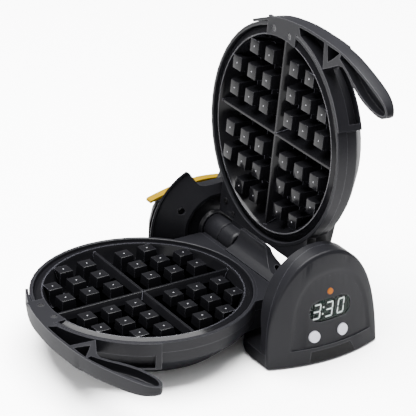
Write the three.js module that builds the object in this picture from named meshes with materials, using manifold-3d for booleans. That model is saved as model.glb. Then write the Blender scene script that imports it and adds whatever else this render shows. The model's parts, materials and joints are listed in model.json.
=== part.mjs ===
// Flip-over round waffle maker: stand with two towers, lower half and lid.
// Millimetres, +Z up. The hinge axis runs along Y through both towers; the timer faces -Y.
// Both halves share one shape, drawn about the hinge axis with the parting plane at z = 0.
import * as THREE from 'three';
import { mergeVertices } from 'three/addons/utils/BufferGeometryUtils.js';
import Module from 'manifold-3d';

const wasm = await Module();
wasm.setup();

// ---- driving dimensions -------------------------------------------------
const AXIS_Z = 49.3;        // hinge axis above the table
const DISC_X = -121.2;      // centre of a half, from the axis
const LID_OPEN = 95.1;      // degrees the lid stands open
const CAVITY_R = 89.2;      // waffle cavity, 7 inch
const RIM_R = 101.5;        // outside of the rim ring
const RIM_DEPTH = 10;       // rim ring, below the parting plane
const COVER_DEPTH = 46.5;   // outer cover, below the parting plane
const PAN_FLOOR = 20;       // cavity depth of one plate
const POST_PITCH = 24.2;    // waffle pattern
const POST_FIRST = 19.5;
const EDGE_X = -18;         // straight hinge edge of both halves
const EDGE_Y = 70;          // half length of that edge
const HANDLE_DEPTH = 17;    // handle at its root, below the parting plane
const TOWER_W = 58.5;       // half width of the front tower
const TOWER_H = 103;        // front arch height
const FACE_Y = -108.7;      // side edge of the timer face at the table
const FACE_BULGE = 11.5;    // how far the middle of the face stands proud
const FACE_LEAN = 6.3;      // degrees the face leans back
const WALL_Y = 72;          // inner wall of both towers
const REAR_R = 62;          // rear tower arch, about the axis
const GAP = 0.3;            // between neighbouring pieces
const RING = 48;            // segments of the large turned parts

// ---- materials ----------------------------------------------------------
const paint = (color, roughness, metalness = 0) => ({ color, roughness, metalness });
const LOOK = {
  housing: paint(0x26272a, 0.5),
  dark: paint(0x17181a, 0.6),
  plate: paint(0x1b1b1d, 0.3, 0.4),
  steel: paint(0x9a9a9c, 0.35, 1),
  board: paint(0x1d5a34, 0.6),
  window: paint(0x07110b, 0.1),
  digits: paint(0xe8f4ec, 0.5),
  amber: paint(0xff7a1c, 0.3),
  button: paint(0xb9bcc0, 0.5),
  yellow: paint(0xf2c21b, 0.5),
  rubber: paint(0x101011, 0.9),
};

// ---- solids -------------------------------------------------------------
function solid(geometry) {
  const g = geometry.index ? geometry.toNonIndexed() : geometry.clone();
  g.deleteAttribute('normal');
  g.deleteAttribute('uv');
  const m = mergeVertices(g, 1e-4);
  const pos = m.attributes.position.array;
  const tris = [];
  let volume = 0;
  const a = new THREE.Vector3();
  const b = new THREE.Vector3();
  const c = new THREE.Vector3();
  for (let i = 0; i < m.index.count; i += 3) {
    const t = [m.index.getX(i), m.index.getX(i + 1), m.index.getX(i + 2)];
    if (t[0] === t[1] || t[1] === t[2] || t[2] === t[0]) continue;
    a.fromArray(pos, 3 * t[0]);
    b.fromArray(pos, 3 * t[1]);
    c.fromArray(pos, 3 * t[2]);
    volume += a.dot(b.cross(c));
    tris.push(t);
  }
  const order = volume < 0 ? [0, 2, 1] : [0, 1, 2];
  const triVerts = new Uint32Array(tris.flatMap((t) => order.map((k) => t[k])));
  const vertProperties = new Float32Array(pos);
  return new wasm.Manifold(new wasm.Mesh({ numProp: 3, vertProperties, triVerts }));
}

function join(...parts) {
  return parts.reduce((sum, part) => sum.add(part));
}

function cut(body, ...tools) {
  return tools.reduce((rest, tool) => rest.subtract(tool), body);
}

function box(x0, x1, y0, y1, z0, z1) {
  const g = new THREE.BoxGeometry(x1 - x0, y1 - y0, z1 - z0);
  return solid(g.translate((x0 + x1) / 2, (y0 + y1) / 2, (z0 + z1) / 2));
}

// turned about a vertical line; profile is [radius, z] pairs
function turned(profile, x = 0, y = 0, segments = RING) {
  const points = profile.map(([r, z]) => new THREE.Vector2(r, z));
  return solid(new THREE.LatheGeometry(points, segments).rotateX(Math.PI / 2).translate(x, y, 0));
}

// turned about the hinge axis; profile is [radius, y] pairs
function turnedY(profile, z = 0, segments = 48) {
  const points = profile.map(([r, y]) => new THREE.Vector2(r, y));
  return solid(new THREE.LatheGeometry(points, segments).translate(0, 0, z));
}

function post(r, x, y, z0, z1, segments = 20) {
  return turned([[0, z0], [r, z0], [r, z1], [0, z1]], x, y, segments);
}

function shape(outline) {
  return new THREE.Shape(outline.map(([x, y]) => new THREE.Vector2(x, y)));
}

// outline in (x, y), from z0 up to z1
function plate(outline, z0, z1) {
  const g = new THREE.ExtrudeGeometry(shape(outline), { depth: z1 - z0, bevelEnabled: false });
  return solid(g.translate(0, 0, z0));
}

// outline in (x, z), from y0 to y1; bend moves each point of a slab cut in three steps
function slabY(outline, y0, y1, bend = null) {
  const options = { depth: y1 - y0, bevelEnabled: false, steps: bend ? 3 : 1 };
  const g = new THREE.ExtrudeGeometry(shape(outline), options);
  g.rotateX(Math.PI / 2).translate(0, y1, 0);
  if (bend) {
    const p = g.attributes.position;
    for (let i = 0; i < p.count; i++) p.setXYZ(i, ...bend(p.getX(i), p.getY(i), p.getZ(i)));
  }
  return solid(g);
}

// outline in (y, z), from x0 to x1
function slabX(outline, x0, x1) {
  const g = new THREE.ExtrudeGeometry(shape(outline), { depth: x1 - x0, bevelEnabled: false });
  const turn = new THREE.Matrix4().makeBasis(
    new THREE.Vector3(0, 1, 0),
    new THREE.Vector3(0, 0, 1),
    new THREE.Vector3(1, 0, 0),
  );
  return solid(g.applyMatrix4(turn).translate(x0, 0, 0));
}

// smooth outline through control points
function curve(points, steps, closed = false) {
  const spline = new THREE.SplineCurve(points.map(([x, y]) => new THREE.Vector2(x, y)));
  const list = spline.getPoints(steps).map((p) => [p.x, p.y]);
  return closed ? list.slice(0, -1) : list;
}

function arc(cx, cy, r, from, to, steps) {
  return Array.from({ length: steps + 1 }, (_, i) => {
    const t = THREE.MathUtils.degToRad(from + ((to - from) * i) / steps);
    return [cx + r * Math.cos(t), cy + r * Math.sin(t)];
  });
}

// ---- output -------------------------------------------------------------
const product = new THREE.Group();
product.name = 'waffle_maker';
const lowerHalf = new THREE.Group();
lowerHalf.position.z = AXIS_Z;
const lidHalf = new THREE.Group();
lidHalf.position.z = AXIS_Z;
lidHalf.rotation.y = THREE.MathUtils.degToRad(LID_OPEN);
product.add(lowerHalf, lidHalf);

function addMesh(name, body, look, parent = product, mirrored = false) {
  const m = body.getMesh();
  const count = m.vertProperties.length / m.numProp;
  const position = new Float32Array(count * 3);
  for (let i = 0; i < count; i++) {
    position[3 * i] = m.vertProperties[m.numProp * i];
    position[3 * i + 1] = m.vertProperties[m.numProp * i + 1];
    position[3 * i + 2] = m.vertProperties[m.numProp * i + 2] * (mirrored ? -1 : 1);
  }
  const index = Array.from(m.triVerts);
  if (mirrored) {
    for (let i = 0; i < index.length; i += 3) {
      [index[i + 1], index[i + 2]] = [index[i + 2], index[i + 1]];
    }
  }
  const g = new THREE.BufferGeometry();
  g.setAttribute('position', new THREE.BufferAttribute(position, 3));
  g.setIndex(index);
  g.computeVertexNormals();
  const mesh = new THREE.Mesh(g, new THREE.MeshStandardMaterial(look));
  mesh.name = name;
  parent.add(mesh);
}

// ---- one half, parting plane up, body below ------------------------------
// handle plan, about the centre of the disc
const HANDLE_OUTER = [
  [-92, 50], [-101.5, 27], [-107.4, 5.5], [-110.9, -28], [-110.3, -55], [-108.9, -75],
  [-105.3, -97], [-98.5, -120], [-91.5, -139], [-86.5, -150], [-81, -157], [-75, -158],
  [-71.4, -152],
];
const HANDLE_INNER = [
  [-71, -146], [-72.5, -136], [-77, -121], [-84, -108], [-90.5, -99], [-95.6, -90],
];
const TONGUE_ROOT_Y = -86;
const PAD_FROM = 216;       // degrees round the disc, handle pad on the housing
const PAD_TO = 248.5;
const TAB = [-104, -87, -18, 26];
const HANDLE_SCREWS = [[-94.5, 16], [-94.5, -8]];
const PAD_IN_R = 93.5;

function ringSector(inner, outer, from, to, z0, z1, steps = 14) {
  const out = arc(0, 0, outer, from, to, steps);
  const back = arc(0, 0, inner, to, from, steps);
  return plate([...out, ...back], z0, z1);
}

// the handle gets shallower towards its tip
function taper(geometry) {
  const p = geometry.attributes.position;
  for (let i = 0; i < p.count; i++) {
    const t = THREE.MathUtils.clamp((-30 - p.getY(i)) / 130, 0, 1);
    const tip = THREE.MathUtils.clamp((-132 - p.getY(i)) / 31, 0, 1);
    p.setZ(i, p.getZ(i) * (1 - 0.25 * t) * Math.sqrt(1 - tip ** 2 * 0.86));
  }
  return geometry;
}

// round-bottomed block under z = 0
function soft(outline, depth, round) {
  const g = new THREE.ExtrudeGeometry(shape(outline), {
    depth: 2 * (depth - round),
    bevelThickness: round,
    bevelSize: round * 0.45,
    bevelOffset: -round * 0.45,
    bevelSegments: 3,
  });
  const whole = solid(taper(g.translate(0, 0, round - depth)));
  return whole.intersect(box(-300, 300, -300, 300, -100, 0));
}

function handleBody() {
  const outer = curve(HANDLE_OUTER, 28);
  const inner = curve(HANDLE_INNER, 9);
  const onRoot = outer.filter(([, y]) => y > TONGUE_ROOT_Y);
  const onTongue = outer.filter(([, y]) => y < TONGUE_ROOT_Y + 18);
  const root = arc(0, 0, 102, PAD_FROM, 151.5, 10);
  const body = join(
    plate([...onRoot, [-96, TONGUE_ROOT_Y], [-93, TONGUE_ROOT_Y + 6], ...root], -15, 0),
    soft([...onTongue, ...inner, [-93, TONGUE_ROOT_Y + 16]], HANDLE_DEPTH, 5),
  );
  const pocketA = plate([
    ...curve([[-108.2, -21], [-108.6, -40], [-107.6, -60]], 6),
    ...arc(0, 0, 103.8, 217, 194, 6),
  ], -13, 1);
  const pocketB = plate([[-107, -65], [-105.8, -84], [-98.5, -76], [-92.5, -68.5]], -12, 1);
  const dish = soft([
    ...curve([
      [-105.6, -86], [-102.6, -98], [-96, -120], [-89, -138.5], [-84.3, -149], [-80, -154.8],
      [-75.8, -155], [-73.6, -149], [-73.6, -143], [-75.4, -134], [-79.8, -121.5],
      [-86.5, -109.5], [-93.4, -99], [-98.4, -90],
    ], 24),
    [-101, -84.5],
  ], 9.5, 3);
  const pad = ringSector(PAD_IN_R, 103.2, PAD_FROM - 2, PAD_TO, -25, -10.6);
  const band = ringSector(101.8, 103.2, PAD_FROM - 2, PAD_TO, -10.8, 0);
  const scoop = cut(
    turned([[97, -23.5], [110, -23.5], [110, -12], [97, -12], [97, -23.5]]),
    box(-300, 300, -30, 300, -60, 60),
    ringSector(60, 140, PAD_TO - 3, 300, -60, 60),
  );
  const tab = plate([
    [TAB[0], TAB[2]], ...arc(0, 0, 89.6, 191.6, 163.1, 8), [TAB[0], TAB[3]],
  ], -3, 0);
  const scoopOnly = scoop.subtract(box(-300, -86, -300, 300, -60, 60));
  const grip = cut(join(body, pad, band, tab), pocketA, pocketB, dish, scoopOnly);
  const holes = HANDLE_SCREWS.flatMap(([x, y]) => [
    post(1.7, x, y, -10, 1, 12),
    post(3.2, x, y, -1.8, 1, 16),
  ]);
  return cut(grip, ...holes);
}

function screwHoles() {
  return HANDLE_SCREWS.map(([x, y]) => post(1.7, x, y, -11, 1, 12));
}

function tabRoom() {
  return plate([
    [-108, TAB[2] - GAP], ...arc(0, 0, 89.1, 191.9, 162.8, 8), [-108, TAB[3] + GAP],
  ], -3 - GAP, 5);
}

function panBody() {
  const dish = turned([
    [0, -23.5], [79, -23.5], [92, -7], [97.4, -5.2], [97.4, -2.8], [91.6, -1.2], [90.3, -0.3],
    [CAVITY_R, -0.8], [84.5, -12], [79.6, -18.4], [75.5, -PAN_FLOOR], [0, -PAN_FLOOR],
  ]);
  const plug = turned([
    [0, -21.5], [78.5, -21.5], [81, -19], [86, -12], [90, -1.3], [90, -0.6], [0, -0.6],
  ]);
  const section = [[-7.5, -21], [-1.1, -3], [0, -2.7], [1.1, -3], [7.5, -21]];
  let pattern = join(slabX(section, -89, 89), slabY(section, -89, 89));
  const places = [0, 1, 2].flatMap((i) => [0, 1, 2].map((j) => [i, j]));
  for (const [i, j] of places) {
    if (i + j > 3) continue;
    for (const [sx, sy] of [[1, 1], [1, -1], [-1, 1], [-1, -1]]) {
      const g = new THREE.BoxGeometry(16.5, 16.5, 20);
      const p = g.attributes.position;
      for (let k = 0; k < p.count; k++) {
        if (p.getZ(k) < 0) continue;
        p.setX(k, p.getX(k) * 0.79);
        p.setY(k, p.getY(k) * 0.79);
      }
      const x = sx * (POST_FIRST + POST_PITCH * i);
      const y = sy * (POST_FIRST + POST_PITCH * j);
      pattern = pattern.add(solid(g.translate(x, y, -10.8)));
    }
  }
  return cut(dish.add(pattern.intersect(plug)), tabRoom(), ...screwHoles());
}

function moved(body, x, y = 0, z = 0) {
  const m = body.getMesh();
  const g = new THREE.BufferGeometry();
  g.setAttribute('position', new THREE.BufferAttribute(new Float32Array(m.vertProperties), 3));
  g.setIndex(Array.from(m.triVerts));
  return solid(g.translate(x, y, z));
}

function rimBody() {
  const ring = turned([
    [98, -0.4], [98.6, 0], [100.9, 0], [RIM_R, -0.6], [RIM_R, -RIM_DEPTH], [93.6, -RIM_DEPTH],
    [93.6, -7.8], [98, -5.6], [98, -0.4],
  ]);
  const edge = EDGE_X - DISC_X;
  const block = box(55, edge, -EDGE_Y, EDGE_Y, -RIM_DEPTH, -0.5);
  const under = box(50, edge - 3, 3 - EDGE_Y, EDGE_Y - 3, -RIM_DEPTH - 1, -3.5);
  const inside = turned([[0, -20], [99, -20], [99, 5], [0, 5]]);
  return cut(join(ring, cut(block, under, inside)), tabRoom(), ...screwHoles());
}

function coverBody() {
  const top = -RIM_DEPTH - GAP;
  const outside = turned([
    [0, -COVER_DEPTH], [60, -COVER_DEPTH], [71, -44.7], [78.5, -41], [96.3, -25], [100, -20.6],
    [100.3, -18], [100.3, top], [0, top],
  ]);
  const inside = turned([
    [0, 2.6 - COVER_DEPTH], [59.5, 2.6 - COVER_DEPTH], [69.7, -42.3], [76.8, -38.8], [94.3, -23],
    [97.3, -19.5], [97.6, -17], [97.6, 5], [0, 5],
  ]);
  const edge = EDGE_X - DISC_X - 0.3;
  const reach = EDGE_Y - 0.5;
  const block = slabY([[50, top], [50, -32], [edge - 9, -26], [edge, -17], [edge, top]], -reach, reach);
  const room = slabY(
    [[40, 5], [40, -29.4], [edge - 10, -23.5], [edge - 2.6, -16], [edge - 2.6, 5]],
    2.6 - reach,
    reach - 2.6,
  );
  const bay = ringSector(PAD_IN_R - GAP, 120, PAD_FROM - 2.4, PAD_TO + 0.4, -25.3, 5);
  const wall = ringSector(PAD_IN_R - 2.6, PAD_IN_R - GAP, PAD_FROM - 4, PAD_TO + 2, -25.5, top);
  const hollow = join(outside, block).subtract(join(inside, room));
  return join(cut(hollow, bay), wall.intersect(outside));
}

function heaterBody() {
  const ring = solid(new THREE.TorusGeometry(56, 3.4, 8, 28).translate(0, 0, -28));
  const ends = [-9, 9].map((y) => box(52, 78, y - 2.4, y + 2.4, -30.4, -25.6));
  return join(ring, ...ends);
}

function thermostatBody() {
  return join(post(11, 0, 0, -30, -24, 20), box(-3, 3, -14, 14, -31.5, -29));
}

function screwBody(x, y) {
  const slot = box(x - 0.4, x + 0.4, y - 2, y + 2, -0.8, 1);
  const cross = box(x - 2, x + 2, y - 0.4, y + 0.4, -0.8, 1);
  return cut(join(post(2.8, x, y, -1.6, -0.3, 16), post(1.4, x, y, -9.5, -1.5, 12)), slot, cross);
}

const half = {
  pan: [moved(panBody(), DISC_X), LOOK.plate],
  rim: [moved(rimBody(), DISC_X), LOOK.housing],
  cover: [moved(coverBody(), DISC_X), LOOK.housing],
  heater: [moved(heaterBody(), DISC_X), LOOK.steel],
  thermostat: [moved(thermostatBody(), DISC_X), LOOK.steel],
  handle: [moved(handleBody(), DISC_X), LOOK.housing],
  screw_a: [moved(screwBody(...HANDLE_SCREWS[0]), DISC_X), LOOK.steel],
  screw_b: [moved(screwBody(...HANDLE_SCREWS[1]), DISC_X), LOOK.steel],
};
// the lid's rim also takes a screw and a pin beside its hinge: name, x, y, radius
const LID_FIXINGS = [['lid_hinge_screw', -31, 61, 3], ['lid_hinge_pin', -23.5, 47, 2.2]];
const lidPockets = LID_FIXINGS.map(([, x, y, r]) => post(r + GAP, x, y, -2, 2, 16));
for (const [name, [body, look]] of Object.entries(half)) {
  addMesh(`lower_${name}`, body, look, lowerHalf);
  addMesh(`lid_${name}`, name === 'rim' ? cut(body, ...lidPockets) : body, look, lidHalf, true);
}

// ---- hinges --------------------------------------------------------------
const SPINDLE_R = 5;
const KNUCKLE_R = 12.9;
const KNUCKLE = [28, 48];   // y range of the lid knuckle at the rear
const bore = turnedY([[0, -90], [SPINDLE_R + GAP, -90], [SPINDLE_R + GAP, 90], [0, 90]], 0, 24);

function lowerHinge() {
  const cove = [
    [-17.7, -9], [-17.7, 0.6], [-14, 1.6], [-9.5, 3.8], [-5.5, 7.4], [-2.8, 12], [-1.6, 17.5],
    [1.6, 17.5], [3.2, 12], [5, 6.5], [7, 0], [7.6, -9],
  ];
  const crest = [
    [-47.7, -9], [-47.7, 3.4], [-36.5, 3.6], [-31, 4.8], [-24.5, 7.4], [-20, 11], [-16.8, 15],
    [-14, 18], [27.7, 18], [27.7, -9],
  ];
  const saddle = slabY(cove, -47.7, 27.7).intersect(slabX(crest, -30, 30));
  const barrel = turnedY([
    [0, KNUCKLE[1] + GAP], [13.2, KNUCKLE[1] + GAP], [14, 49.3], [14, WALL_Y - 1], [0, WALL_Y - 1],
  ]);
  const rail = box(-17.7, -13.4, -47.7, WALL_Y - 2.5, -11.5, -1);
  return cut(join(saddle, barrel, rail), bore);
}

function lidKnuckle(y0, y1) {
  const round = turnedY([
    [0, y0], [11.4, y0], [12.5, y0 + 1.2], [KNUCKLE_R, y0 + 3], [KNUCKLE_R, y1], [0, y1],
  ]);
  const arm = slabY([[-17.7, -0.8], [-17.7, -12.9], [0, -12.9], [0, -0.8]], y0, y1);
  return cut(join(round, arm), bore);
}

addMesh('lower_hinge', lowerHinge(), LOOK.housing, lowerHalf);
addMesh('lid_hinge_rear', lidKnuckle(KNUCKLE[0], KNUCKLE[1]), LOOK.housing, lidHalf, true);
addMesh('lid_hinge_front', lidKnuckle(-WALL_Y + 1, -48), LOOK.housing, lidHalf, true);
for (const [name, x, y, r] of LID_FIXINGS) {
  const slot = box(x - 0.4, x + 0.4, y - r + 1, y + r - 1, -0.5, 2);
  addMesh(name, cut(post(r, x, y, -1.7, 0.1, 16), slot), LOOK.steel, lidHalf, true);
}

// ---- front tower ---------------------------------------------------------
function archWidth(z) {
  return TOWER_W * Math.sqrt(Math.max(0, 1 - Math.max(0, z / TOWER_H) ** 2.5));
}

function archOutline(inset, foot = 1.5) {
  const right = [];
  for (let i = 0; i <= 18; i++) {
    const t = (Math.PI / 2) * (i / 18);
    const z = TOWER_H * Math.sin(t);
    right.push([archWidth(z), z]);
  }
  const k = (TOWER_W - inset) / TOWER_W;
  const kz = (TOWER_H - inset) / TOWER_H;
  const scaled = right.map(([x, z]) => [x * k, Math.max(foot, z * kz)]);
  const left = scaled.slice(0, -1).map(([x, z]) => [-x, z]).reverse();
  return [...scaled, ...left];
}

const leanAngle = THREE.MathUtils.degToRad(FACE_LEAN);

function faceProfile(x) {
  return FACE_Y - FACE_BULGE * (1 - (x / TOWER_W) ** 2);
}

// block whose front is the bulged, leaning timer face, set back by `back`
function faceBlock(back, depth) {
  const front = Array.from({ length: 25 }, (_, i) => [6 * i - 72, back + faceProfile(6 * i - 72)]);
  const g = new THREE.ExtrudeGeometry(shape([...front, [72, depth], [-72, depth]]), {
    depth: 180,
    bevelEnabled: false,
  });
  g.translate(0, 0, -30);
  return solid(lean(g));
}

function lean(g) {
  const shear = new THREE.Matrix4().makeShear(0, 0, 0, 0, 0, Math.tan(leanAngle));
  return g.applyMatrix4(shear);
}

// solid whose wall follows the timer face: each ring gives how far the outline has drawn in
// towards its centre (x, z, half size) and how deep behind the face it lies, rear ring first
function faceLoft(outline, [cx, cz, size], rings, floor = -100) {
  const steps = rings.length - 1;
  const g = new THREE.ExtrudeGeometry(shape(outline), { depth: steps, steps, bevelEnabled: false });
  g.rotateX(Math.PI / 2);
  const p = g.attributes.position;
  for (let i = 0; i < p.count; i++) {
    const [inset, depth] = rings[Math.round(-p.getY(i))];
    const x = cx + (p.getX(i) - cx) * (1 - inset / size);
    const z = Math.max(floor, cz + (p.getZ(i) - cz) * (1 - inset / size));
    p.setXYZ(i, x, faceProfile(x) + depth + z * Math.tan(leanAngle), z);
  }
  return solid(g);
}

function behind(y) {
  const g = new THREE.BoxGeometry(200, 200, 400).translate(0, y + 100, 0);
  return solid(lean(g));
}

const SEAM_Y = FACE_Y + 2.6;
const CONE = [
  [0, -WALL_Y], [24, -WALL_Y], [33, -74], [43, -79], [50, -84.5], [54, -88.5], [60, -94.5],
  [76, -99], [90, -101], [90, -135], [0, -135],
];
const CONE_IN = [
  [0, -WALL_Y - 2.6], [23, -WALL_Y - 2.6], [31.6, -76.6], [41.2, -81.4], [48, -86.6],
  [51.8, -90.4], [58.2, -97], [75, -102], [88, -104], [88, -136], [0, -136],
];

// plan of a tower foot; side is -1 at the front, 1 at the rear
function footPlan(halfWidth, inset, side, far) {
  const w = halfWidth - inset;
  const right = [[w, far], [w, 82], [w - 1.5, 70], [w - 6, 60], [w - 8, 57.8 + inset]];
  return [...right, ...right.map(([x, y]) => [-x, y]).reverse()].map(([x, y]) => [x, y * side]);
}

function frontShell() {
  const long = slabY(archOutline(0), -135, -50);
  const outer = join(long.intersect(turnedY(CONE, AXIS_Z)), plate(footPlan(TOWER_W, 0, -1, 135), 1.5, 13));
  const longIn = slabY(archOutline(2.6, -5), -136, -50);
  const footIn = plate(footPlan(TOWER_W, 2.6, -1, 135), -5, 10.4);
  const inner = join(longIn.intersect(turnedY(CONE_IN, AXIS_Z)), footIn);
  const hole = turnedY([[0, -90], [SPINDLE_R + GAP, -90], [SPINDLE_R + GAP, -60], [0, -60]], AXIS_Z, 24);
  return cut(outer, inner, hole).intersect(behind(SEAM_Y + GAP));
}

const RECESS = [
  [-34.5, 16], [-32.5, 38], [-28.6, 57], [-21, 70], [-10.4, 77.4], [3, 79.6], [17, 77],
  [28.6, 68.4], [37, 56], [42.6, 38], [44.6, 16],
];
const WINDOW = [3.4, 48.2, 22.2, 9.9];
const BUTTONS = [[-14.6, 25.8], [15.2, 25.8]];
const LAMP = [2.9, 64.9];
const LABEL = [[-20.5, 2.4], [28.5, 2.4], [22.8, 12.4], [-18.6, 12.4]];

function stadium([cx, cz, hw, hh], grow = 0) {
  const r = hh + grow;
  const flat = hw - hh;
  return [...arc(cx + flat, cz, r, -90, 90, 8), ...arc(cx - flat, cz, r, 90, 270, 8)];
}

function faceHole(outline) {
  return slabY(outline, -140, -90);
}

function disc(x, z, r) {
  return arc(x, z, r, 0, 340, 17);
}

// outline moved out by d on each axis
function grown(outline, d) {
  const cx = outline.reduce((sum, [x]) => sum + x, 0) / outline.length;
  const cz = outline.reduce((sum, p) => sum + p[1], 0) / outline.length;
  return outline.map(([x, z]) => [x + d * Math.sign(x - cx), z + d * Math.sign(z - cz)]);
}

const BEZEL_ROUND = 2.2;
const RECESS_DEPTH = 1.8;

function frontBezel() {
  const rounding = [0, 25, 50, 75, 90].map((degrees) => THREE.MathUtils.degToRad(degrees)).map((a) => [
    BEZEL_ROUND * (1 - Math.cos(a)), BEZEL_ROUND * (1 - Math.sin(a)),
  ]);
  const skin = faceLoft(archOutline(0), [0, 0, TOWER_W], [[0, 30], ...rounding, [BEZEL_ROUND, -30]], 1.5)
    .intersect(faceBlock(0, -70));
  const solidBezel = cut(skin, behind(SEAM_Y));
  const slope = [[0, 1], [-0.9, 0.93], [-1.9, 0.7], [-2.9, 0.33], [-3.9, 0.08], [-5, -0.02]];
  const dish = faceLoft(curve(RECESS, 24), [5, 16, 39], [
    [0, 30], ...slope.map(([out, deep]) => [out, deep * RECESS_DEPTH]), [-5, -30],
  ], 16);
  const recess = cut(dish, faceBlock(RECESS_DEPTH, -60));
  const hollow = cut(
    slabY(archOutline(3, -5), -140, -80).intersect(faceBlock(4.2, -70)),
    box(-80, 80, -160, -60, -10, 4.5),
  );
  const holes = [
    faceHole(stadium(WINDOW, 0.3)),
    ...BUTTONS.map(([x, z]) => faceHole(disc(x, z, 5.6))),
    faceHole(disc(LAMP[0], LAMP[1], 3.1)),
    cut(slabY(grown(LABEL, 0.3), -140, -90), faceBlock(1.2, -60)),
  ];
  return cut(solidBezel, recess, hollow, ...holes);
}

// piece standing in the face: outline, set back from the face, thickness
function inFace(outline, back, thick) {
  return cut(slabY(outline, -140, -90).intersect(faceBlock(back, -60)), faceBlock(back + thick, -50));
}

// lit digits of the timer, leaning to the right
const DIGIT_SLANT = 0.19;

function segmentBars() {
  const bars = [];
  const bar = (x, z, w, h) => bars.push(
    [[x - w / 2, z - h / 2], [x + w / 2, z - h / 2], [x + w / 2, z + h / 2], [x - w / 2, z + h / 2]]
      .map(([px, pz]) => [px + pz * DIGIT_SLANT + WINDOW[0], pz + WINDOW[1] - 1.4]),
  );
  const digit = (x, marks) => {
    const place = {
      a: [x, 6.3, 6.2, 1.1], g: [x, 0, 6.2, 1.1], d: [x, -6.3, 6.2, 1.1],
      f: [x - 3.2, 3.15, 1.1, 5], b: [x + 3.2, 3.15, 1.1, 5],
      e: [x - 3.2, -3.15, 1.1, 5], c: [x + 3.2, -3.15, 1.1, 5],
    };
    for (const m of marks) bar(...place[m]);
  };
  digit(-13, 'abgcd');
  digit(-0.1, 'abgcd');
  digit(12.6, 'abcdef');
  bar(-6.7, 3, 1.2, 1.2);
  bar(-6.7, -3, 1.2, 1.2);
  return bars;
}

function displayModule() {
  const back = inFace(stadium([WINDOW[0], WINDOW[1], WINDOW[2] + 1.2, WINDOW[3] + 1.2]), 5, 4);
  const bars = segmentBars().map((outline) => inFace(outline, 4.4, 1.5));
  return join(back, ...bars);
}

addMesh('front_shell', frontShell(), LOOK.housing);
addMesh('front_bezel', frontBezel(), LOOK.housing);
addMesh('display_window', inFace(stadium(WINDOW), 1.7, 2.2), LOOK.window);
addMesh('display_module', displayModule(), LOOK.digits);
addMesh('indicator_lens', join(
  inFace(disc(LAMP[0], LAMP[1], 2.8), 1.1, 3.6),
  inFace(disc(LAMP[0], LAMP[1], 4), 4.6, 1.2),
), LOOK.amber);
addMesh('label_strip', inFace(LABEL, 0.2, 0.7), LOOK.dark);
['minute_button', 'second_button'].forEach((name, i) => {
  const [x, z] = BUTTONS[i];
  addMesh(name, join(
    inFace(disc(x, z, 5.2), 0.1, 5),
    inFace(disc(x, z, 6.6), 4.6, 1.2),
    inFace(disc(x, z, 1.6), 5.6, 2.0),
  ), LOOK.button);
});
addMesh('circuit_board', inFace([[-26, 16], [26, 16], [26, 72], [-26, 72]], 9.4, 1.6), LOOK.board);

// ---- rear tower ----------------------------------------------------------
const FIN = [
  [63, 1.5], [63.5, 30], [62.8, AXIS_Z],
  ...arc(0, AXIS_Z, REAR_R, 8, 66, 12),
  [23, 105], [20.4, 102.6], [17.4, 96.5], [14.5, 92.6], [10, 91.4],
];

const REAR_FOOT_W = 63;

function mirrorX(outline) {
  return [...outline, ...outline.map(([x, z]) => [-x, z]).reverse()];
}

function shrink(outline, d) {
  return outline.map(([x, z]) => {
    const n = Math.hypot(x, z - 40);
    return [x * (1 - d / n), Math.max(-5, 40 + (z - 40) * (1 - d / n))];
  });
}

const REAR_CONE = [
  [0, WALL_Y], [15.5, WALL_Y], [17, WALL_Y + 3], [28, WALL_Y + 3], [31, WALL_Y + 0.6], [34, WALL_Y + 0.6],
  [37, WALL_Y + 3], [47, 80], [56.5, 86.5], [58.2, 87], [60.5, 86.2], [64, 88], [90, 90], [90, 97], [0, 97],
];
const REAR_CONE_IN = REAR_CONE.map(([r, y], i) => (
  i > 12 ? [Math.max(0, r), y + (i > 13 ? 5 : 0)] : [Math.max(0, r - (i ? 1 : 0)), y + 2.6]
));

// the rear tower narrows from the rim of its fins towards the back
function narrowed(x, y, z) {
  const t = Math.max(0, y - 87);
  const k = 1 - 0.009 * t;
  return [x * k, y, z * k];
}

function rearInner() {
  const outline = mirrorX(FIN);
  const outer = slabY(outline, 67, 97, narrowed).intersect(turnedY(REAR_CONE, AXIS_Z));
  const foot = plate(footPlan(REAR_FOOT_W, 0, 1, 97), 1.5, 13);
  const innerFoot = plate(footPlan(REAR_FOOT_W, 2.6, 1, 98), -5, 10.4);
  const room = slabY(shrink(outline, 2.8), 68, 98, narrowed).intersect(turnedY(REAR_CONE_IN, AXIS_Z));
  const hole = turnedY([[0, 60], [SPINDLE_R + GAP, 60], [SPINDLE_R + GAP, 90], [0, 90]], AXIS_Z, 24);
  const screw = join(slabY(disc(-35, 71.6, 3.4), 60, 79.6), slabY(disc(-35, 71.6, 1.6), 60, 92));
  return cut(join(outer, foot), room, innerFoot, hole, screw);
}

function rearTop(x) {
  return 84.6 - 9.6 * (Math.abs(x) / 56) ** 1.6;
}

function rearOutline(inset) {
  const top = Array.from({ length: 13 }, (_, i) => 48 - 8 * i).map((x) => [
    x * (1 - inset / 56), rearTop(x) - inset,
  ]);
  return [[58 - inset, 1.5 - inset * 4], [58.8 - inset, 30], [58 - inset, 54], [54 - inset, 68], ...top,
    [inset - 54, 68], [inset - 58, 54], [inset - 58.8, 30], [inset - 58, 1.5 - inset * 4]];
}

// the shell behind it narrows too, and keeps its top level as far as the strip's back edge
function narrowedShell(x, y, z) {
  const t = Math.max(0, y - 97.3) / 14.7;
  return [x * (1 - 0.15 * t), y, z * (1 - 0.15 * Math.max(0, y - 107) / 5)];
}

function rearShell() {
  const outer = slabY(rearOutline(0), 97.3, 112, narrowedShell);
  const inner = slabY(rearOutline(2.6), 90, 109.4, narrowedShell);
  return cut(outer, inner);
}

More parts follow.
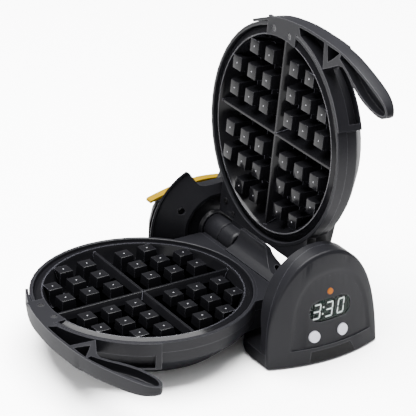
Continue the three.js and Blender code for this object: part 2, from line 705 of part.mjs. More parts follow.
function rearStrip() {
  const top = Array.from({ length: 15 }, (_, i) => 56 - 8 * i);
  const upper = top.map((x) => [x, rearTop(x) + 0.3 + 3]);
  const lower = top.map((x) => [x, rearTop(x) + 0.3]).reverse();
  return slabY([...upper, ...lower], 98, 106.5);
}

addMesh('rear_inner', rearInner(), LOOK.housing);
addMesh('rear_shell', rearShell(), LOOK.dark);
addMesh('rear_strip', rearStrip(), LOOK.yellow);
addMesh('rear_screw', moved(join(
  slabY(disc(0, 0, 2.9), -1.6, 0),
  slabY(disc(0, 0, 1.3), -0.2, 9),
), -35, 79.2, 71.6), LOOK.steel);

// ---- spindles, base, feet --------------------------------------------------
function spindle(y0, y1, flangeY0, flangeY1) {
  return join(
    turnedY([[0, y0], [SPINDLE_R, y0], [SPINDLE_R, y1], [0, y1]], AXIS_Z, 24),
    turnedY([[0, flangeY0], [9, flangeY0], [9, flangeY1], [0, flangeY1]], AXIS_Z, 24),
  );
}
addMesh('front_spindle', spindle(-78, -40, -77.6, -75), LOOK.steel);
addMesh('rear_spindle', spindle(20, 81, 78, 80.4), LOOK.steel);

function basePlan(inset) {
  const side = [[46, -57.5 + inset], [40.5, -44], [38, -25], [37.5, 0], [38, 25], [40.5, 44],
    [46, 57.5 - inset]].map(([x, y]) => [x - inset, y]);
  return [...side, ...side.map(([x, y]) => [-x, y]).reverse()];
}
addMesh('base_bridge', cut(plate(basePlan(0), 1.5, 11), plate(basePlan(2.6), -2, 8.4)), LOOK.housing);

function bottomPlate(front) {
  const s = front ? 1 : -1;
  const w = front ? 54 : 53.5;
  const far = front ? -100 : -108;
  const wFar = front ? 54 : 47.5;
  const right = [[wFar, far], [w, far + 10.5], [w, -82], [w - 2, -71], [w - 6, -61.5]];
  const plan = mirrorX(right).map(([x, y]) => [x, y * s]);
  return plate(plan, 2, 4.4);
}
addMesh('front_bottom', bottomPlate(true), LOOK.dark);
addMesh('rear_bottom', bottomPlate(false), LOOK.dark);
[[-44, -88], [44, -88], [-44, 88], [44, 88]].forEach(([x, y], i) => {
  addMesh(`foot_${i + 1}`, post(8, x, y, 0, 1.7, 24), LOOK.rubber);
});

// origin: on the table, under the middle of the whole object
const extent = new THREE.Box3().setFromObject(product, true);
const middle = extent.getCenter(new THREE.Vector3());
product.position.set(-middle.x, -middle.y, 0);

export default product;
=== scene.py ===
"""Flip-over round waffle maker: finished pieces, materials and studio round the fixed frame.

Metres, +Z up, hinge axis along Y. The frame gives every place; each piece rides on its body.
"""

import json
import math

import bmesh
import bpy
from bpy.props import FloatProperty, FloatVectorProperty, IntProperty, PointerProperty
from mathutils import Matrix, Vector

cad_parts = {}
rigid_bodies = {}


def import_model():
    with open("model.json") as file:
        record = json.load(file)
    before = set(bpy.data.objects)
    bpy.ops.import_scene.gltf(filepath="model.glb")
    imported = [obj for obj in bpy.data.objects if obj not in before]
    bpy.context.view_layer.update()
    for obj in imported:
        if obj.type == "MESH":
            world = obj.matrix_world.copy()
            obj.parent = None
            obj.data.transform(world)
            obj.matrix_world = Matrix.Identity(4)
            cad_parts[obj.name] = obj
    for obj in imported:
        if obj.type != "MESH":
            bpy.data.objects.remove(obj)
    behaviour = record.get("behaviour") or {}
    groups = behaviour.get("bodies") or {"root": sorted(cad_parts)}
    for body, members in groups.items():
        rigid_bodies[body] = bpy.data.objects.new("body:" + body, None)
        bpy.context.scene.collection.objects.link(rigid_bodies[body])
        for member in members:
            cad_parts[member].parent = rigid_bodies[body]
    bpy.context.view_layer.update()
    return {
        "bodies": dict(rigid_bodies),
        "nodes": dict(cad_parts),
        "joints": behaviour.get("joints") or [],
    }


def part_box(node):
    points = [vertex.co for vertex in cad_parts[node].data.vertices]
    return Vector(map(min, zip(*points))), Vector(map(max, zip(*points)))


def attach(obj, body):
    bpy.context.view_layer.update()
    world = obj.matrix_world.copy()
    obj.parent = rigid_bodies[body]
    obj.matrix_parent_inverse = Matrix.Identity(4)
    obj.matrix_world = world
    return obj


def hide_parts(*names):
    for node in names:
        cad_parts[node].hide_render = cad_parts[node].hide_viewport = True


bl_info = {
    "name": "Flip Waffle Maker",
    "version": (1, 0, 0),
    "blender": (4, 5, 0),
    "location": "View3D > Sidebar > Waffle Maker",
    "description": "Finishes a packed flip-over waffle maker and sets it in a studio",
    "category": "Add Mesh",
}

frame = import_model()

MM = 0.001
JOINTS = {joint["name"]: joint for joint in frame["joints"]}
AXIS = Vector(JOINTS["lid_hinge"]["pos_m"])      # hinge axis, at its height over the table
LID_OPEN = math.radians(95.1)                    # how far the lid stands open
PAN_LOW, PAN_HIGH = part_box("lower_pan")
DISC = Vector(((PAN_LOW.x + PAN_HIGH.x) / 2, (PAN_LOW.y + PAN_HIGH.y) / 2, AXIS.z))

# timer face: a bulged wall that leans back, as the frame's bezel has it
FACE_SIDE_Y = AXIS.y - 0.1087
FACE_BULGE = 0.0115
FACE_HALF_WIDTH = 0.0585
FACE_LEAN = math.radians(6.3)
LIT_DEPTH = 0.0047                               # behind the face, the lit digits end here


# ---- shader maths -----------------------------------------------------------
class Value:
    """A shader socket that takes part in sums, so a mask reads as arithmetic."""

    def __init__(self, finish, socket):
        self.finish = finish
        self.socket = socket

    def _maths(self, operation, first, second):
        return self.finish.node("ShaderNodeMath", {"operation": operation}, {0: first, 1: second})

    def __add__(self, other):
        return self._maths("ADD", self, other)

    __radd__ = __add__

    def __sub__(self, other):
        return self._maths("SUBTRACT", self, other)

    def __rsub__(self, other):
        return self._maths("SUBTRACT", other, self)

    def __mul__(self, other):
        return self._maths("MULTIPLY", self, other)

    __rmul__ = __mul__


class Finish:
    """One procedural material: a Principled shader and the nodes that feed it."""

    def __init__(self, name):
        self.material = bpy.data.materials.new(name)
        self.material.use_nodes = True
        self.tree = self.material.node_tree
        self.shader = self.tree.nodes["Principled BSDF"]
        self.place = self.node("ShaderNodeTexCoord", output="Object")

    def node(self, kind, settings=None, inputs=None, output=0):
        """Adds a node, applies its settings first, then its socket values or links."""
        made = self.tree.nodes.new(kind)
        for key, value in (settings or {}).items():
            setattr(made, key, value)
        for key, value in (inputs or {}).items():
            self.feed(made.inputs[key], value)
        return Value(self, made.outputs[output])

    def feed(self, socket, value):
        """Links a shader value to a socket, or sets a plain one on it."""
        if isinstance(value, Value):
            self.tree.links.new(value.socket, socket)
        else:
            socket.default_value = value

    def set(self, **sockets):
        """Sets the shader's sockets by name, an underscore standing for a space."""
        for key, value in sockets.items():
            self.feed(self.shader.inputs[key.replace("_", " ")], value)
        return self

    def noise(self, size, detail=2.0, roughness=0.5, stretch=(1, 1, 1)):
        """Noise of a feature size in metres, 0 to 1."""
        where = self.node("ShaderNodeMapping", None, {"Vector": self.place, "Scale": stretch})
        return self.node(
            "ShaderNodeTexNoise",
            None,
            {"Vector": where, "Scale": 1 / size, "Detail": detail, "Roughness": roughness},
        )

    def ramp(self, factor, low, high):
        """0 under low, 1 over high."""
        return self.node(
            "ShaderNodeMapRange",
            {"clamp": True},
            {"Value": factor, "From Min": low, "From Max": high, "To Min": 0.0, "To Max": 1.0},
        )

    @staticmethod
    def colour(value):
        """Gives a plain colour its alpha."""
        return (*value, 1) if isinstance(value, tuple) else value

    def blend(self, factor, first, second):
        """Mixes two colours."""
        return self.node(
            "ShaderNodeMix",
            {"data_type": "RGBA"},
            {"Factor": factor, 6: self.colour(first), 7: self.colour(second)},
            output=2,
        )

    def edges(self, radius):
        """1 along the edges, 0 on the flats, from how far a rounded normal turns away."""
        rounded = self.node("ShaderNodeBevel", {"samples": 4}, {"Radius": radius})
        plain = self.node("ShaderNodeNewGeometry", output="Normal")
        turn = self.node(
            "ShaderNodeVectorMath",
            {"operation": "DOT_PRODUCT"},
            {0: rounded, 1: plain},
            output="Value",
        )
        return self.ramp(1 - turn, 0.02, 0.16)

    def bump(self, height, strength, depth):
        """Normal of a relief of the given depth in metres."""
        return self.node(
            "ShaderNodeBump", None, {"Height": height, "Strength": strength, "Distance": depth}
        )


PLASTIC_EDGE = 0.0009       # how far the painted edge highlight and the edge coat reach onto the flats
PLATE_EDGE = 0.0006
EDGE_GLOSS = 0.3            # coat that the edges of plastic have over the flats
PLATE_EDGE_GLOSS = 0.6
PLATE_GLOSS = 0.13


def tinted(colour, factor):
    """A colour made lighter or darker by a factor."""
    return tuple(channel * factor for channel in colour[:3])


def moulded(name, colour, roughness, grain=0.00045, depth=0.00006, sheen=0.12, painted_edge_light=3.5):
    """Moulded plastic: a spark-eroded grain, faint flow clouds, rub marks and edges lightened as a
    painted highlight.

    The sheen is the weight of the coat on the flats; the last argument sets how much lighter the
    painted edge highlight makes the edges.
    """
    finish = Finish(name)
    clouds = finish.noise(0.035, 3)
    rubbed = finish.ramp(finish.noise(0.012, 5, 0.65), 0.52, 0.72)
    grains = finish.noise(grain, 2, 0.6)
    base = finish.blend(clouds, tinted(colour, 0.86), tinted(colour, 1.14))
    edges = finish.edges(PLASTIC_EDGE)
    finish.set(
        # painted highlight: the base colour is lightened along the edges
        Base_Color=finish.blend(edges, base, tinted(colour, painted_edge_light)),
        Coat_Weight=edges * EDGE_GLOSS + sheen,
        Coat_Roughness=0.33,
        Roughness=(grains - 0.5) * 0.12 + roughness + rubbed * -0.07,
        Normal=finish.bump(grains, 0.55, depth),
        Specular_IOR_Level=0.0,
    )
    return finish.material


def nonstick(name, colour):
    """Non-stick coating over cast metal: orange peel, fine flecks and edges painted bright as a
    highlight.
    """
    finish = Finish(name)
    peel = finish.noise(0.0022, 2, 0.5)
    flecks = finish.ramp(finish.noise(0.0006, 1, 0.5), 0.66, 0.74)
    stain = finish.noise(0.03, 4, 0.6)
    coated = finish.blend(flecks, tinted(colour, 1), tinted(colour, 2.1))
    edges = finish.edges(PLATE_EDGE)
    finish.set(
        # painted highlight: the base colour is made far lighter along the edges
        Base_Color=finish.blend(edges, coated, tinted(colour, 34)),
        Roughness=stain * 0.1 + 0.24,
        Normal=finish.bump(peel, 0.35, 0.00012),
        Specular_IOR_Level=0.0,
        Coat_Weight=edges * PLATE_EDGE_GLOSS + PLATE_GLOSS,
        Coat_Roughness=0.16,
    )
    return finish.material


def brushed(name, colour, roughness):
    """Brushed metal: fine scratches along one way."""
    finish = Finish(name)
    scratches = finish.noise(0.0012, 3, 0.7, (1, 1, 18))
    spots = finish.noise(0.009, 3)
    finish.set(
        Base_Color=finish.blend(spots, tinted(colour, 0.85), tinted(colour, 1.1)),
        Roughness=scratches * 0.2 + roughness,
        Metallic=1.0,
        Normal=finish.bump(scratches, 0.3, 0.00004),
    )
    return finish.material


def make_finishes(settings):
    """Every material of the object, by the record's slot name."""
    charcoal = settings.housing_colour
    made = {
        "housing": moulded("satin charcoal plastic", charcoal, 0.42),
        "trim": moulded("matte black plastic", settings.trim_colour, 0.55),
        "plate": nonstick("non-stick coating", settings.plate_colour),
        "steel": brushed("plain steel", (0.58, 0.58, 0.6), 0.28),
        # painted shade: the screws are near black to stand for the shade in the holes they sit in
        "screw": brushed("shade-darkened steel", (0.02, 0.02, 0.021), 0.3),
        "yellow": moulded(
            "yellow plastic", settings.strip_colour, 0.35, 0.0012, 0.00003, sheen=0.04, painted_edge_light=1.3),
        "button": moulded(
            "light grey button", settings.button_colour, 0.4, 0.0007, 0.00003, sheen=0.1, painted_edge_light=1.2),
        "foot": moulded("foot rubber", (0.02, 0.02, 0.02), 0.75, 0.0009, 0.0001, sheen=0.3),
    }
    # painted highlight: the light grey dot on each post tip stands for the glint on the tip
    mark = Finish("painted highlight dot")
    mark.set(
        Base_Color=mark.blend(mark.noise(0.0004, 2), (0.12, 0.12, 0.13), (0.2, 0.2, 0.21)),
        Roughness=mark.noise(0.0006, 2) * 0.15 + 0.25,
    )
    made["mark"] = mark.material
    board = Finish("circuit board")
    lines = board.ramp(board.noise(0.0035, 0, 0.2, (1, 1, 0.15)), 0.47, 0.53)
    board.set(
        Base_Color=board.blend(lines, (0.012, 0.07, 0.03), (0.03, 0.16, 0.06)),
        Roughness=0.4,
    )
    made["board"] = board.material
    window = Finish("tinted window")
    window.set(
        Base_Color=window.blend(
            window.noise(0.006, 3), (0.001, 0.003, 0.002), (0.002, 0.005, 0.0035)),
        Roughness=window.noise(0.004, 3) * 0.05 + 0.06,
        Alpha=0.3,
        Specular_IOR_Level=0.12,
    )
    made["window"] = window.material
    glow = Finish("lit segments")
    glow.set(
        Base_Color=(0.8, 0.9, 0.85, 1),
        Emission_Color=glow.blend(glow.noise(0.002, 2), (0.75, 0.9, 0.84), (1.0, 1.0, 1.0)),
        Emission_Strength=settings.digit_glow,
        Roughness=0.5,
    )
    made["display"] = glow.material
    made["panel"] = moulded(
        "display panel", (0.0012, 0.0045, 0.003), 0.5, 0.0008, 0.00002, sheen=0.03)
    lamp = Finish("amber lamp")
    core = lamp.noise(0.0025, 2)
    lamp.set(
        Base_Color=lamp.blend(core, (0.07, 0.018, 0.0), (0.1, 0.028, 0.0)),
        Emission_Color=lamp.blend(core, (0.9, 0.22, 0.0), (1.0, 0.3, 0.0)),
        Emission_Strength=0.3,
        Roughness=0.22,
        Specular_IOR_Level=0.05,
    )
    made["lamp"] = lamp.material
    return made


FINISHES = {}


# ---- mesh helpers -----------------------------------------------------------
MERGE_DISTANCE = 0.00002            # corners of a node's loose triangles closer than this are one
FLAT_ANGLE = math.radians(1)        # neighbouring faces flatter than this become one
ROUNDED_ANGLE = math.radians(30)    # edges sharper than this are rounded
SMOOTH_ANGLE = 35                   # degrees, edges sharper than this stay crisp
PAN_SMOOTH_ANGLE = 40


def half_matrix(lid):
    """From one half's own frame (disc centre, parting plane up) to its place at rest."""
    to_disc = Matrix.Translation(DISC)
    if not lid:
        return to_disc
    swing = Matrix.Rotation(LID_OPEN, 4, "Y")
    about = Matrix.Translation(AXIS) @ swing @ Matrix.Translation(-AXIS)
    return about @ to_disc @ Matrix.Scale(-1, 4, Vector((0, 0, 1)))


def body_of(node):
    """Name of the body that carries a node."""
    carrier = frame["nodes"][node].parent
    return next(name for name, empty in frame["bodies"].items() if empty == carrier)


def finish_piece(bm, name, body, slot, replaced, smooth=SMOOTH_ANGLE, recalc=True):
    """Turns a bmesh into a finished piece on its body, and hides the nodes it stands for."""
    if recalc:
        bmesh.ops.recalc_face_normals(bm, faces=bm.faces)
    mesh = bpy.data.meshes.new(name)
    bm.to_mesh(mesh)
    bm.free()
    piece = bpy.data.objects.new(name, mesh)
    bpy.context.scene.collection.objects.link(piece)
    mesh.materials.append(FINISHES[slot])
    mesh.shade_smooth()
    mesh.set_sharp_from_angle(angle=math.radians(smooth))
    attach(piece, body)
    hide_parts(*replaced)
    return piece


def softened(node, slot, width, segments=2):
    """A merged copy of a node with its sharp edges rounded, standing for the node."""
    source = frame["nodes"][node]
    bm = bmesh.new()
    bm.from_mesh(source.data)
    bmesh.ops.remove_doubles(bm, verts=bm.verts, dist=MERGE_DISTANCE)
    bmesh.ops.dissolve_degenerate(bm, edges=bm.edges, dist=MERGE_DISTANCE)
    bmesh.ops.dissolve_limit(
        bm, angle_limit=FLAT_ANGLE, verts=bm.verts, edges=bm.edges, use_dissolve_boundaries=False
    )
    piece = finish_piece(bm, node + "_finished", body_of(node), slot, (node,), recalc=False)
    if width:
        soften = piece.modifiers.new("soft edges", "BEVEL")
        soften.width = width
        soften.segments = segments
        soften.limit_method = "ANGLE"
        soften.angle_limit = ROUNDED_ANGLE
        soften.use_clamp_overlap = True
        soften.harden_normals = True
        soften.miter_outer = "MITER_ARC"
    return piece


def turned(bm, profile, steps):
    """Spins a (radius, height) outline in millimetres about the vertical through the origin."""
    points = [bm.verts.new((r * MM, 0, z * MM)) for r, z in profile]
    edges = [bm.edges.new(pair) for pair in zip(points, points[1:])]
    bmesh.ops.spin(
        bm,
        geom=points + edges,
        cent=(0, 0, 0),
        axis=(0, 0, 1),
        angle=math.tau,
        steps=steps,
        use_merge=True,
        use_duplicate=False,
    )
    bmesh.ops.remove_doubles(bm, verts=bm.verts, dist=0.00001)


# ---- settings ---------------------------------------------------------------
class WaffleSettings(bpy.types.PropertyGroup):
    """Sizes and colours a user would change."""

    edge: FloatProperty(
        name="Edge radius", description="Rounding of the moulded edges",
        default=0.0007, min=0, subtype="DISTANCE", unit="LENGTH")
    post_edge: FloatProperty(
        name="Post edge", description="Rounding of the waffle posts",
        default=0.0005, min=0, subtype="DISTANCE", unit="LENGTH")
    steps: IntProperty(
        name="Turned steps", description="Steps round the turned pans", default=128, min=24)
    digit_glow: FloatProperty(
        name="Digit glow", description="Strength of the lit digits", default=1.4, min=0)
    housing_colour: FloatVectorProperty(
        name="Housing", description="Charcoal plastic of the housings",
        subtype="COLOR", size=3, default=(0.0042, 0.0042, 0.005), min=0, max=1)
    trim_colour: FloatVectorProperty(
        name="Trim", description="Matte black trim",
        subtype="COLOR", size=3, default=(0.0012, 0.0012, 0.0014), min=0, max=1)
    plate_colour: FloatVectorProperty(
        name="Plate", description="Non-stick coating",
        subtype="COLOR", size=3, default=(0.0022, 0.0022, 0.0026), min=0, max=1)
    strip_colour: FloatVectorProperty(
        name="Strip", description="Yellow strip on the rear tower",
        subtype="COLOR", size=3, default=(0.1, 0.06, 0.0), min=0, max=1)
    button_colour: FloatVectorProperty(
        name="Buttons", description="Timer buttons",
        subtype="COLOR", size=3, default=(0.28, 0.28, 0.31), min=0, max=1)
    key_power: FloatProperty(
        name="Overhead light", description="Power of the overhead softbox",
        default=520, min=0, unit="POWER")
    side_power: FloatProperty(
        name="Side light", description="Power of the left softbox",
        default=16, min=0, unit="POWER")
    air_strength: FloatProperty(
        name="Air", description="Strength of the even light from all round", default=0.7, min=0)


# ---- plates -----------------------------------------------------------------
# millimetres, from the middle of the pan and its parting plane; section is (radius, height)
PAN_SECTION = [
    (0, -20), (75.0, -20), (77.2, -19.6), (79.4, -18.6), (81.2, -16.9), (84.5, -12), (88.4, -3),
    (89.0, -1.4), (89.7, -0.6), (90.5, -0.5), (91.4, -1.1), (97.0, -2.7), (97.4, -3.2),
    (97.4, -5), (92, -7), (79, -23.5), (0, -23.5),
]
POST_PLACES = [(19.5, 19.5), (43.7, 19.5), (67.9, 19.5), (19.5, 43.7), (43.7, 43.7),
               (67.9, 43.7), (19.5, 67.9), (43.7, 67.9)]
POST_BASE = 16.5
POST_TIP = 13.0
POST_TOP = -0.8
PAN_FLOOR = -20.0
MARK_RADIUS = 0.55
RIDGE_REACH = 88.8
RIDGE_SECTION = [(-7.5, -21), (-1.2, -3.1), (1.2, -3.1), (7.5, -21)]    # across, height
WALL_LEVELS = [(-20, 75.5), (-18.4, 79.6), (-12, 84.5), (-0.8, 89.0)]   # height, inner radius


def wall_radius(z):
    """Inner radius of the pan at a height, in millimetres."""
    for (z0, r0), (z1, r1) in zip(WALL_LEVELS, WALL_LEVELS[1:]):
        if z <= z1:
            return r0 + (r1 - r0) * max(0.0, (z - z0) / (z1 - z0))
    return WALL_LEVELS[-1][1]


def hold_inside_wall(verts):
    """Presses whatever reaches past the pan's wall back onto it."""
    for v in verts:
        limit = (wall_radius(v.co.z / MM) + 0.3) * MM
        reach = math.hypot(v.co.x, v.co.y)
        if reach > limit:
            v.co.x *= limit / reach
            v.co.y *= limit / reach


def taken_in(bm, part):
    """Adds one finished bmesh to another."""
    mesh = bpy.data.meshes.new("part")
    part.to_mesh(mesh)
    part.free()
    bm.from_mesh(mesh)
    bpy.data.meshes.remove(mesh)


def add_post(bm, x, y, edge):
    """One waffle post: a tapering block with rounded edges and a small raised mark on its tip,
    coloured light grey as a painted highlight.
    """
    part = bmesh.new()
    bmesh.ops.create_cube(part, size=1)
    height = POST_TOP - PAN_FLOOR + 1
    for v in part.verts:
        wide = POST_TIP if v.co.z > 0 else POST_BASE
        v.co = Vector((v.co.x * wide, v.co.y * wide, PAN_FLOOR - 1 + (v.co.z + 0.5) * height)) * MM
    edges = [e for e in part.edges if any(v.co.z > PAN_FLOOR * MM for v in e.verts)]
    bmesh.ops.bevel(part, geom=edges, offset=edge, offset_type="OFFSET", segments=3,
                    profile=0.5, affect="EDGES", material=-1, clamp_overlap=True)
    sides = [e for e in part.edges if abs(e.verts[0].co.z - e.verts[1].co.z) > 10 * MM]
    bmesh.ops.subdivide_edges(part, edges=sides, cuts=3, use_grid_fill=True)
    bmesh.ops.translate(part, verts=part.verts, vec=(x * MM, y * MM, 0))
    hold_inside_wall(part.verts)
    taken_in(bm, part)
    mark = bmesh.new()
    bmesh.ops.create_icosphere(mark, subdivisions=2, radius=MARK_RADIUS * MM)
    bmesh.ops.scale(mark, verts=mark.verts, vec=(1, 1, 0.5))
    bmesh.ops.translate(mark, verts=mark.verts, vec=(x * MM, y * MM, POST_TOP * MM))
    for face in mark.faces:
        face.material_index = 1
    taken_in(bm, mark)


def edges_along_x(part):
    """The edges that run the whole length of a ridge."""
    return [e for e in part.edges if abs(e.verts[0].co.x - e.verts[1].co.x) > RIDGE_REACH * MM]


def add_ridge(bm, turn, edge):
    """One of the two ridges that quarter the pan."""
    part = bmesh.new()
    points = [part.verts.new((-RIDGE_REACH * MM, a * MM, z * MM)) for a, z in RIDGE_SECTION]
    face = part.faces.new(points)
    pushed = bmesh.ops.extrude_face_region(part, geom=[face])["geom"]
    moved = [g for g in pushed if isinstance(g, bmesh.types.BMVert)]
    bmesh.ops.translate(part, verts=moved, vec=(2 * RIDGE_REACH * MM, 0, 0))
    top = [e for e in edges_along_x(part) if e.verts[0].co.z > -10 * MM]
    bmesh.ops.bevel(part, geom=top, offset=edge * 0.6, offset_type="OFFSET", segments=2,
                    profile=0.5, affect="EDGES", material=-1, clamp_overlap=True)
    bmesh.ops.subdivide_edges(part, edges=edges_along_x(part), cuts=24, use_grid_fill=True)
    bmesh.ops.rotate(part, verts=part.verts, cent=(0, 0, 0), matrix=Matrix.Rotation(turn, 3, "Z"))
    hold_inside_wall(part.verts)
    taken_in(bm, part)


class WAFFLE_OT_pans(bpy.types.Operator):
    """Turns both pans and stands the posts and ridges in them"""

    bl_idname = "waffle.pans"
    bl_label = "Patterned pans"

    def execute(self, context):
        settings = context.scene.waffle
        for lid in (False, True):
            bm = bmesh.new()
            turned(bm, PAN_SECTION, settings.steps)
            for px, py in POST_PLACES:
                for sx in (1, -1):
                    for sy in (1, -1):
                        add_post(bm, sx * px, sy * py, settings.post_edge)
            add_ridge(bm, 0, settings.post_edge)
            add_ridge(bm, math.pi / 2, settings.post_edge)
            bmesh.ops.transform(bm, matrix=half_matrix(lid), verts=bm.verts)
            name = "lid" if lid else "lower"
            pan = finish_piece(bm, name + "_pan_finished", "lid" if lid else "lower_half", "plate",
                               (name + "_pan",), PAN_SMOOTH_ANGLE)
            pan.data.materials.append(FINISHES["mark"])
        return {"FINISHED"}


# ---- softened pieces --------------------------------------------------------
def soften_group(nodes, slot, width, segments=2):
    """Softens several nodes in the same way."""
    for node in nodes:
        softened(node, slot, width, segments)


class WAFFLE_OT_halves(bpy.types.Operator):
    """Rounds the rims, covers and handles of both halves"""

    bl_idname = "waffle.halves"
    bl_label = "Rims, covers and handles"

    def execute(self, context):
        edge = context.scene.waffle.edge
        for half in ("lower", "lid"):
            soften_group((half + "_rim",), "housing", edge * 0.7)
            soften_group((half + "_cover",), "housing", edge)
            soften_group((half + "_handle",), "housing", edge * 3, segments=4)
        return {"FINISHED"}


class WAFFLE_OT_hinges(bpy.types.Operator):
    """Rounds the saddle, the barrel and the lid's knuckles"""

    bl_idname = "waffle.hinges"
    bl_label = "Hinges"

    def execute(self, context):
        edge = context.scene.waffle.edge
        soften_group(("lower_hinge", "lid_hinge_rear", "lid_hinge_front"), "housing", edge * 1.4)
        return {"FINISHED"}


class WAFFLE_OT_front_tower(bpy.types.Operator):
    """Rounds the front tower's shell and its timer face"""

    bl_idname = "waffle.front_tower"
    bl_label = "Front tower"

    def execute(self, context):
        edge = context.scene.waffle.edge
        softened("front_shell", "housing", edge * 1.6, segments=3)
        softened("front_bezel", "housing", edge * 1.6, segments=3)
        softened("label_strip", "trim", edge * 0.3)
        return {"FINISHED"}


def face_y(x, z):
    """Y of the timer face at a place on it."""
    across = (x - AXIS.x) / FACE_HALF_WIDTH
    return FACE_SIDE_Y - FACE_BULGE * (1 - across * across) + math.tan(FACE_LEAN) * z


class WAFFLE_OT_timer(bpy.types.Operator):
    """Finishes the timer: window, lit digits on their dark panel, lamp and buttons"""

    bl_idname = "waffle.timer"
    bl_label = "Timer"

    def execute(self, context):
        edge = context.scene.waffle.edge
        softened("display_window", "window", edge * 0.5)
        softened("indicator_lens", "lamp", edge * 0.9, segments=3)
        soften_group(("minute_button", "second_button"), "button", edge * 1.2, segments=3)
        display = softened("display_module", "display", 0)
        display.data.materials.append(FINISHES["panel"])
        for polygon in display.data.polygons:
            centre = polygon.center
            lit = centre.y - face_y(centre.x, centre.z) < LIT_DEPTH
            polygon.material_index = 0 if lit else 1
        return {"FINISHED"}


class WAFFLE_OT_rear_tower(bpy.types.Operator):
    """Rounds the rear tower's finned wall, its shell and the yellow strip"""

    bl_idname = "waffle.rear_tower"
    bl_label = "Rear tower"

    def execute(self, context):
        edge = context.scene.waffle.edge
        softened("rear_inner", "housing", edge * 1.6, segments=3)
        softened("rear_shell", "trim", edge * 1.3)
        softened("rear_strip", "yellow", edge * 0.9)
        return {"FINISHED"}


class WAFFLE_OT_base(bpy.types.Operator):
    """Rounds the bridge, the bottom plates and the feet"""

    bl_idname = "waffle.base"
    bl_label = "Base and feet"

    def execute(self, context):
        edge = context.scene.waffle.edge
        softened("base_bridge", "housing", edge * 1.3)
        soften_group(("front_bottom", "rear_bottom"), "trim", edge * 0.6)
        soften_group([f"foot_{i}" for i in range(1, 5)], "foot", edge * 0.5)
        return {"FINISHED"}


class WAFFLE_OT_small_parts(bpy.types.Operator):
    """Gives the screws, spindles, heaters, thermostats and board their finishes"""

    bl_idname = "waffle.small_parts"
    bl_label = "Screws and inner parts"

    def execute(self, context):
        edge = context.scene.waffle.edge
        screws = [n for n in frame["nodes"] if "screw" in n or n == "lid_hinge_pin"]
        soften_group(screws, "screw", edge * 0.25)
        plain = {"steel": [n for n in frame["nodes"]
                           if n.endswith(("heater", "thermostat", "spindle"))],
                 "board": ["circuit_board"]}
        for slot, nodes in plain.items():
            for node in nodes:
                mesh = frame["nodes"][node].data
                mesh.materials.clear()
                mesh.materials.append(FINISHES[slot])
        return {"FINISHED"}


# ---- studio -----------------------------------------------------------------
CAMERA_FROM_AXIS = Vector((-1.0729, -1.5963, 0.9764))
CAMERA_AZIMUTH = math.radians(-32.519)
CAMERA_ELEVATION = math.radians(25.757)
CAMERA_ROLL = math.radians(1.416)
CAMERA_LENS = 204.4
SENSOR = 36.0


def add_camera():
    """Camera at its place from the hinge axis, turned by azimuth, elevation and roll."""
    data = bpy.data.cameras.new("camera")
    data.sensor_width = SENSOR
    data.lens = CAMERA_LENS
    data.clip_end = 20
    camera = bpy.data.objects.new("camera", data)
    bpy.context.scene.collection.objects.link(camera)
    back = Vector((
        math.sin(CAMERA_AZIMUTH) * math.cos(CAMERA_ELEVATION),
        -math.cos(CAMERA_AZIMUTH) * math.cos(CAMERA_ELEVATION),
        math.sin(CAMERA_ELEVATION),
    ))
    right = Vector((math.cos(CAMERA_AZIMUTH), math.sin(CAMERA_AZIMUTH), 0))
    turn = Matrix((right, back.cross(right), back)).transposed().to_4x4()
    roll = Matrix.Rotation(CAMERA_ROLL, 4, "Z")
    camera.matrix_world = Matrix.Translation(AXIS + CAMERA_FROM_AXIS) @ turn @ roll
    bpy.context.scene.camera = camera


def add_softbox(name, place, target, size, power):
    """A soft rectangular light that faces its target."""
    data = bpy.data.lights.new(name, "AREA")
    data.shape = "RECTANGLE"
    data.size, data.size_y = size
    data.energy = power
    lamp = bpy.data.objects.new(name, data)
    bpy.context.scene.collection.objects.link(lamp)
    lamp.location = place
    lamp.rotation_euler = (Vector(target) - Vector(place)).to_track_quat("-Z", "Y").to_euler()


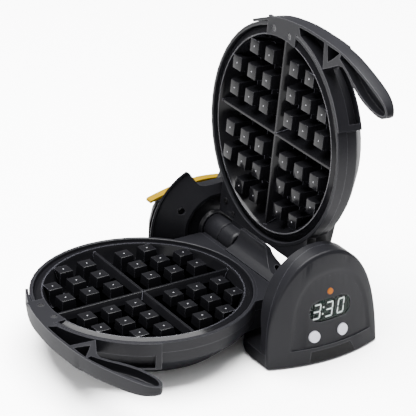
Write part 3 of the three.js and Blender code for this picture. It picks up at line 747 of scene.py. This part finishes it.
class WAFFLE_OT_stage(bpy.types.Operator):
    """Sets the pale floor, the softboxes and the camera"""

    bl_idname = "waffle.stage"
    bl_label = "Studio"

    def execute(self, context):
        settings = context.scene.waffle
        paper = Finish("studio floor")
        paper.set(
            Base_Color=paper.blend(paper.noise(0.4, 3), (0.94, 0.94, 0.95), (0.97, 0.97, 0.97)),
            Roughness=paper.noise(0.003, 3) * 0.1 + 0.6,
            Specular_IOR_Level=0.2,
        )
        bm = bmesh.new()
        bmesh.ops.create_grid(bm, x_segments=2, y_segments=2, size=8)
        mesh = bpy.data.meshes.new("floor")
        bm.to_mesh(mesh)
        bm.free()
        floor = bpy.data.objects.new("floor", mesh)
        mesh.materials.append(paper.material)
        context.scene.collection.objects.link(floor)
        world = bpy.data.worlds.new("studio air")
        world.use_nodes = True
        air = world.node_tree.nodes["Background"]
        air.inputs["Color"].default_value = (1, 1, 1, 1)
        air.inputs["Strength"].default_value = settings.air_strength
        context.scene.world = world
        add_softbox(
            "overhead softbox", (0.1, 0.3, 1.8), (0, 0, 0.1), (2.2, 1.8), settings.key_power)
        add_softbox(
            "left softbox", (-1.5, -0.5, 0.8), (0, 0, 0.12), (0.9, 1.1), settings.side_power)
        add_camera()
        return {"FINISHED"}


PIECES = (
    WAFFLE_OT_pans,
    WAFFLE_OT_halves,
    WAFFLE_OT_hinges,
    WAFFLE_OT_front_tower,
    WAFFLE_OT_timer,
    WAFFLE_OT_rear_tower,
    WAFFLE_OT_base,
    WAFFLE_OT_small_parts,
    WAFFLE_OT_stage,
)


class WAFFLE_PT_panel(bpy.types.Panel):
    """Sidebar panel with the settings and one button for each step"""

    bl_idname = "WAFFLE_PT_panel"
    bl_label = "Waffle Maker"
    bl_space_type = "VIEW_3D"
    bl_region_type = "UI"
    bl_category = "Waffle Maker"

    def draw(self, context):
        for key in WaffleSettings.__annotations__:
            self.layout.prop(context.scene.waffle, key)
        for piece in PIECES:
            self.layout.operator(piece.bl_idname)


CLASSES = (WaffleSettings, *PIECES, WAFFLE_PT_panel)


def register():
    for cls in CLASSES:
        bpy.utils.register_class(cls)
    bpy.types.Scene.waffle = PointerProperty(type=WaffleSettings)


def unregister():
    del bpy.types.Scene.waffle
    for cls in reversed(CLASSES):
        bpy.utils.unregister_class(cls)


def main():
    register()
    FINISHES.update(make_finishes(bpy.context.scene.waffle))
    for piece in PIECES:
        group, name = piece.bl_idname.split(".")
        getattr(getattr(bpy.ops, group), name)()


if __name__ == "__main__":
    main()
